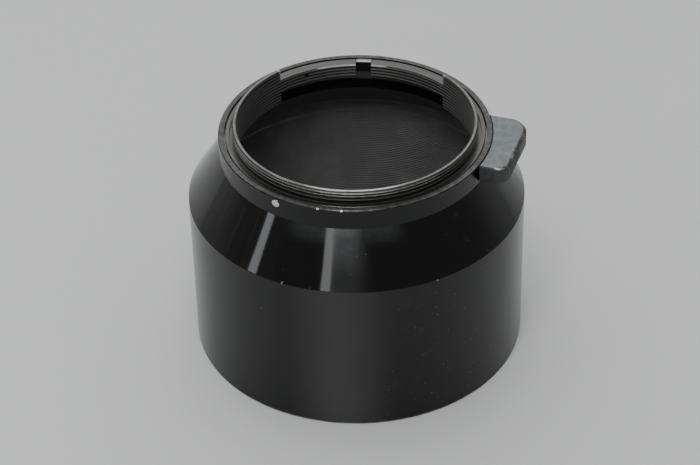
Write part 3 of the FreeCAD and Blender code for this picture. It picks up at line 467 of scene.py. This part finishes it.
def make_tab():
    run = []
    outline = tab_outline()
    for a, c in zip(outline, outline[1:] + outline[:1]):
        run.append(a)
        k = int(math.hypot(c[0] - a[0], c[1] - a[1]) / 0.16)
        for j in range(1, k):
            f = j / k
            nx, ny = a[2] + (c[2] - a[2]) * f, a[3] + (c[3] - a[3]) * f
            nl = math.hypot(nx, ny) or 1.0
            run.append((a[0] + (c[0] - a[0]) * f, a[1] + (c[1] - a[1]) * f, nx / nl, ny / nl, a[4]))
    count = len(run)
    s = [0.0]
    for i in range(1, count):
        s.append(s[-1] + math.hypot(run[i][0] - run[i - 1][0], run[i][1] - run[i - 1][1]))
    part_s = {}
    for i, q in enumerate(run):
        part_s.setdefault(q[4], [s[i], s[i]])[1] = s[i]
    total = s[-1] + math.hypot(run[0][0] - run[-1][0], run[0][1] - run[-1][1])
    s_near0, s_end0, s_end1 = part_s["near"][0], part_s["end"][0], part_s["end"][1]
    s_far1, s_back1 = part_s["far"][1], part_s["back"][1]

    def ramp(v, a, b):
        t = min(1.0, max(0.0, (v - a) / (b - a)))
        return t * t * (3 - 2 * t)

    tooth_from, tooth_to = s_near0 + 3.6, s_end0 + 7.2

    def tooth(v):
        if v < tooth_from or v > tooth_to:
            return 0.0
        ph = ((v - tooth_from) / 0.56) % 1.0
        depth = 0.19 * ramp(v, tooth_from, tooth_from + 0.8) * (1.0 - ramp(v, tooth_to - 1.6, tooth_to))
        worn = 0.75 + 0.25 * soft_noise(v * 1.3, 1.0)
        return depth * worn * (1.0 - abs(2.0 * ph - 1.0)) ** 0.8

    def insets(v):
        """Width and drop of the top round-over."""
        on_end = ramp(v, s_near0 + 1.2, s_end0 + 0.8) * (1.0 - ramp(v, s_end1 + 1.5, s_far1))
        on_near = ramp(v, s_near0 - 0.1, s_near0 + 0.4) * (1.0 - ramp(v, s_end1 + 1.5, s_far1))
        w = 0.34 + on_near * 0.76 + on_end * 0.10 * soft_noise(v * 0.8, 2.0)
        w += 0.16 * ramp(v, s_end0 + 5.0, s_end1 + 1.5) * (1.0 - ramp(v, s_end1 + 2.5, s_far1))
        h = 0.34 + on_near * 0.32 + on_end * 0.06 * soft_noise(v * 1.1, 3.0)
        on_collar = ramp(v, s_back1 - 0.1, s_back1 + 0.3)
        on_collar = max(on_collar, 1.0 - ramp(v, 0.0, 0.25))
        return w + (0.05 - w) * on_collar, h + (0.05 - h) * on_collar

    def dent(v, z):
        """A few knocks in the middle of the end face."""
        d = 0.0
        for cs, cz, rs, rz, amp in ((s_end0 + 5.3, 49.75, 0.55, 0.40, 0.22), (s_end0 + 6.3, 48.9, 0.45, 0.60, 0.16), (s_end0 + 4.2, 50.2, 0.60, 0.30, 0.12),
                                    (s_end0 + 2.2, 50.1, 0.35, 0.30, 0.09), (s_end0 + 8.4, 49.4, 0.40, 0.50, 0.08)):
            q = ((v - cs) / rs) ** 2 + ((z - cz) / rz) ** 2
            d += amp * math.exp(-q)
        return d

    rings = []
    b = 0.36
    for k in range(6):
        t = math.pi / 2 * k / 6
        rings.append(("b", t))
    zs = [T_BOT + b + (T_TOP - 0.75 - T_BOT - b) * k / 9 for k in range(10)]
    for z in zs:
        rings.append(("s", z))
    for k in range(1, 10):
        rings.append(("t", math.pi / 2 * k / 9))
    bm = bmesh.new()
    ca, sa = math.cos(T_DIR), math.sin(T_DIR)

    def put(u, v, z):
        return bm.verts.new(((u * ca - v * sa) * MM, (u * sa + v * ca) * MM, z * MM))

    grid = []
    for kind, t in rings:
        row = []
        for i in range(count):
            u, v, nx, ny, part = run[i]
            w, h = insets(s[i])
            side = 0.0 if part == "collar" else 1.0
            if kind == "b":
                bb = b if side else 0.05
                off, z = bb * (1.0 - math.sin(t)), T_BOT + bb * (1.0 - math.cos(t))
                if not side:
                    z = T_BOT + b * (1.0 - math.cos(t))
            elif kind == "s":
                off, z = 0.0, t
                if z > T_TOP - h:
                    z = T_TOP - h
            else:
                off, z = w * (1.0 - math.cos(t)), T_TOP - h + h * math.sin(t)
            cut = side * (tooth(s[i]) * (1.0 if kind != "t" else math.cos(t) ** 2) + dent(s[i], z))
            off += min(cut, 0.30)
            row.append(put(u - nx * off, v - ny * off, z))
        grid.append(row)
    for a, c in zip(grid[:-1], grid[1:]):
        for i in range(count):
            j = (i + 1) % count
            bm.faces.new((a[i], a[j], c[j], c[i]))
    # flat of the top and bottom, closed by rings that shrink to the middle
    mid = (31.6, 4.4)
    for row, z0, flip in ((grid[-1], T_TOP, False), (grid[0], T_BOT, True)):
        prev = row
        base = [(vv.co.x / MM, vv.co.y / MM) for vv in row]
        mx, my = mid[0] * ca - mid[1] * sa, mid[0] * sa + mid[1] * ca
        for f in (0.93, 0.82, 0.66, 0.46, 0.24):
            ring = []
            for i in range(count):
                x, y = mx + (base[i][0] - mx) * f, my + (base[i][1] - my) * f
                sag = 0.012 * soft_noise(x * 0.9 + y * 0.5, 5.0) if not flip else 0.0
                ring.append(bm.verts.new((x * MM, y * MM, (z0 - abs(sag)) * MM)))
            for i in range(count):
                j = (i + 1) % count
                bm.faces.new((prev[i], prev[j], ring[j], ring[i]) if not flip else (prev[j], prev[i], ring[i], ring[j]))
            prev = ring
        tip = bm.verts.new((mx * MM, my * MM, z0 * MM))
        for i in range(count):
            j = (i + 1) % count
            bm.faces.new((prev[i], prev[j], tip) if not flip else (prev[j], prev[i], tip))
    # neck that goes in through the collar window
    steps = 24
    cols = []
    for k in range(steps + 1):
        a = math.radians(-24.5 + 21.5 * k / steps)
        cols.append([bm.verts.new((r * math.cos(a) * MM, r * math.sin(a) * MM, z * MM)) for r, z in ((27.66, 47.05), (29.35, 47.05), (29.35, 49.8), (27.66, 49.8))])
    for c0, c1 in zip(cols[:-1], cols[1:]):
        for i in range(4):
            j = (i + 1) % 4
            bm.faces.new((c0[i], c0[j], c1[j], c1[i]))
    bm.faces.new(cols[0][::-1])
    bm.faces.new(cols[-1])
    bmesh.ops.recalc_face_normals(bm, faces=bm.faces)
    me = bpy.data.meshes.new("lever_tab_worn")
    bm.to_mesh(me)
    bm.free()
    for p in me.polygons:
        p.use_smooth = True
    me.set_sharp_from_angle(angle=math.radians(38))
    me.materials.append(MATS["lever_grey"])
    ob = bpy.data.objects.new("lever_tab_worn", me)
    bpy.context.scene.collection.objects.link(ob)
    return ob


tab = make_tab()
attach(tab, "lever")
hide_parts("lever_tab")

# ------------------------------------------------------------------ floor
def grid_plane(name, half, z, mat):
    bm = bmesh.new()
    bmesh.ops.create_grid(bm, x_segments=24, y_segments=24, size=half)
    for v in bm.verts:
        v.co.z = z
    me = bpy.data.meshes.new(name)
    bm.to_mesh(me)
    bm.free()
    me.materials.append(mat)
    ob = bpy.data.objects.new(name, me)
    bpy.context.scene.collection.objects.link(ob)
    return ob


floor = grid_plane("floor", 1.1, 0.0, floor_paper())

# ------------------------------------------------------------------ camera
PSI, ELEV, ROLL = -0.0041, 0.6485, -0.0233
fw = Vector((math.sin(PSI) * math.cos(ELEV), math.cos(PSI) * math.cos(ELEV), -math.sin(ELEV)))
right = Vector((math.cos(PSI), -math.sin(PSI), 0.0))
up = right.cross(fw)
r2 = right * math.cos(ROLL) + up * math.sin(ROLL)
u2 = -right * math.sin(ROLL) + up * math.cos(ROLL)
cam = bpy.data.objects.new("camera", bpy.data.cameras.new("camera"))
bpy.context.scene.collection.objects.link(cam)
rot = Matrix((r2, u2, -fw)).transposed().to_4x4()
cam.matrix_world = Matrix.Translation(Vector((0.0, -0.392868, 0.321307))) @ rot
cam.data.sensor_width = 36.0
cam.data.lens = 2262.461 / 700.0 * 36.0
cam.data.clip_start = 0.01
cam.data.clip_end = 20.0
bpy.context.scene.camera = cam


# ------------------------------------------------------------------ light
def area(name, az, el, dist, w, h, watts, target=(0, 0, 0.03), tint=(1, 1, 1)):
    a, e = math.radians(az), math.radians(el)
    d = Vector((math.cos(a) * math.cos(e), math.sin(a) * math.cos(e), math.sin(e)))
    data = bpy.data.lights.new(name, "AREA")
    data.shape = "RECTANGLE"
    data.size, data.size_y = w, h
    data.energy = watts
    data.color = tint
    ob = bpy.data.objects.new(name, data)
    bpy.context.scene.collection.objects.link(ob)
    t = Vector(target)
    ob.location = t + d * dist
    ob.rotation_euler = (-d).to_track_quat("-Z", "Y").to_euler()
    return ob


world = bpy.data.worlds.new("studio")
bpy.context.scene.world = world
world.use_nodes = True
wt = world.node_tree
bg = wt.nodes["Background"]
wc = wt.nodes.new("ShaderNodeTexCoord")
ws = wt.nodes.new("ShaderNodeSeparateXYZ")
wt.links.new(wc.outputs["Generated"], ws.inputs[0])
wr = wt.nodes.new("ShaderNodeMapRange")
wr.interpolation_type = "SMOOTHERSTEP"
wt.links.new(ws.outputs[2], wr.inputs[0])
wr.inputs[1].default_value = -0.02
wr.inputs[2].default_value = 0.26
wr.inputs[3].default_value = 0.45
wr.inputs[4].default_value = 0.19
wt.links.new(wr.outputs[0], bg.inputs[1])
bg.inputs[0].default_value = (0.98, 0.995, 1.0, 1.0)
area("overhead", 112, 68, 1.20, 2.0, 2.2, 12.6, target=(0, 0.06, 0.0), tint=(1.0, 1.0, 0.985))
area("front_top", 262, 60, 1.15, 0.55, 0.36, 4.2, target=(0, 0, 0.03), tint=(1.0, 1.0, 0.99))
area("back_panel", 90, 38, 1.5, 2.2, 1.0, 3.2, tint=(0.98, 0.99, 1.0))
area("side_left", 186, 22, 1.3, 1.3, 0.8, 0.12, tint=(0.98, 1.0, 1.0))
area("strip_left", 201.6, 14.5, 0.75, 0.070, 0.34, 0.26, tint=(0.93, 0.975, 1.0))
area("strip_front", 249.2, 23.0, 0.75, 0.068, 0.30, 0.22, tint=(0.98, 0.99, 1.0))
area("low_front", 256.0, 5.0, 0.50, 0.10, 0.040, 0.10, tint=(1.0, 1.0, 1.0))
